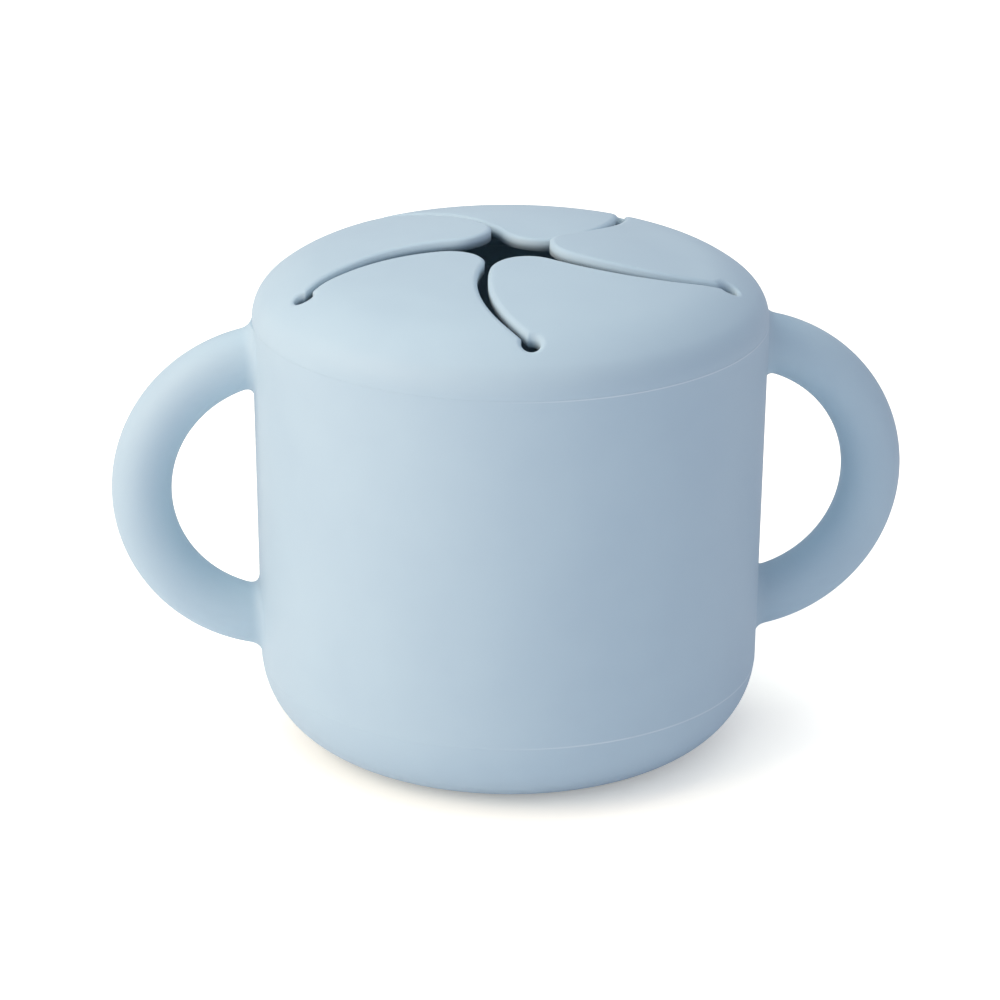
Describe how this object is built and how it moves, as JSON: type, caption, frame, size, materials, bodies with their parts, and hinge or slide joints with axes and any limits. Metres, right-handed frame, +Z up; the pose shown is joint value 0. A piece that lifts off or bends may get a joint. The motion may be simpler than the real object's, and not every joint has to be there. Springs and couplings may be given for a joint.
{
  "type": "toddler snack cup",
  "caption": "Two-handled soft silicone snack cup for a toddler, with a domed press-on lid cut into curved flaps that a small hand pushes through.",
  "frame": {"origin": "centre of the cup's base, on the surface that it stands on", "axes": "+Z up; +X through both handles, towards the handle on the picture's right; +Y away from the picture's viewer"},
  "size_m": [0.14, 0.09, 0.0898],
  "materials": {
    "silicone": "matte powder-blue moulded silicone"
  },
  "bodies": {
    "cup": {"cup": "silicone", "handle_left": "silicone", "handle_right": "silicone"},
    "lid": {"lid": "silicone"},
    "flap_1": {"flap_1": "silicone"},
    "flap_2": {"flap_2": "silicone"},
    "flap_3": {"flap_3": "silicone"},
    "flap_4": {"flap_4": "silicone"},
    "flap_5": {"flap_5": "silicone"}
  },
  "joints": [
    {"name": "lid_lift", "type": "slide", "parent": "cup", "child": "lid", "axis": [0, 0, 1], "range_m": [0, 0.06]},
    {"name": "flap_1_bend", "type": "hinge", "parent": "lid", "child": "flap_1", "pos_m": [0.01133, -0.02426, 0.08584], "axis": [-0.8231, -0.5678, 0], "range_deg": [-35, 55], "stiffness_Nm_per_rad": 0.02},
    {"name": "flap_2_bend", "type": "hinge", "parent": "lid", "child": "flap_2", "pos_m": [0.02658, 0.00328, 0.08584], "axis": [0.2857, -0.9583, 0], "range_deg": [-35, 55], "stiffness_Nm_per_rad": 0.02},
    {"name": "flap_3_bend", "type": "hinge", "parent": "lid", "child": "flap_3", "pos_m": [0.0051, 0.02629, 0.08584], "axis": [0.9997, -0.0244, 0], "range_deg": [-35, 55], "stiffness_Nm_per_rad": 0.02},
    {"name": "flap_4_bend", "type": "hinge", "parent": "lid", "child": "flap_4", "pos_m": [-0.02343, 0.01297, 0.08584], "axis": [0.3322, 0.9432, 0], "range_deg": [-35, 55], "stiffness_Nm_per_rad": 0.02},
    {"name": "flap_5_bend", "type": "hinge", "parent": "lid", "child": "flap_5", "pos_m": [-0.01957, -0.01827, 0.08584], "axis": [-0.7944, 0.6074, 0], "range_deg": [-35, 55], "stiffness_Nm_per_rad": 0.02}
  ]
}
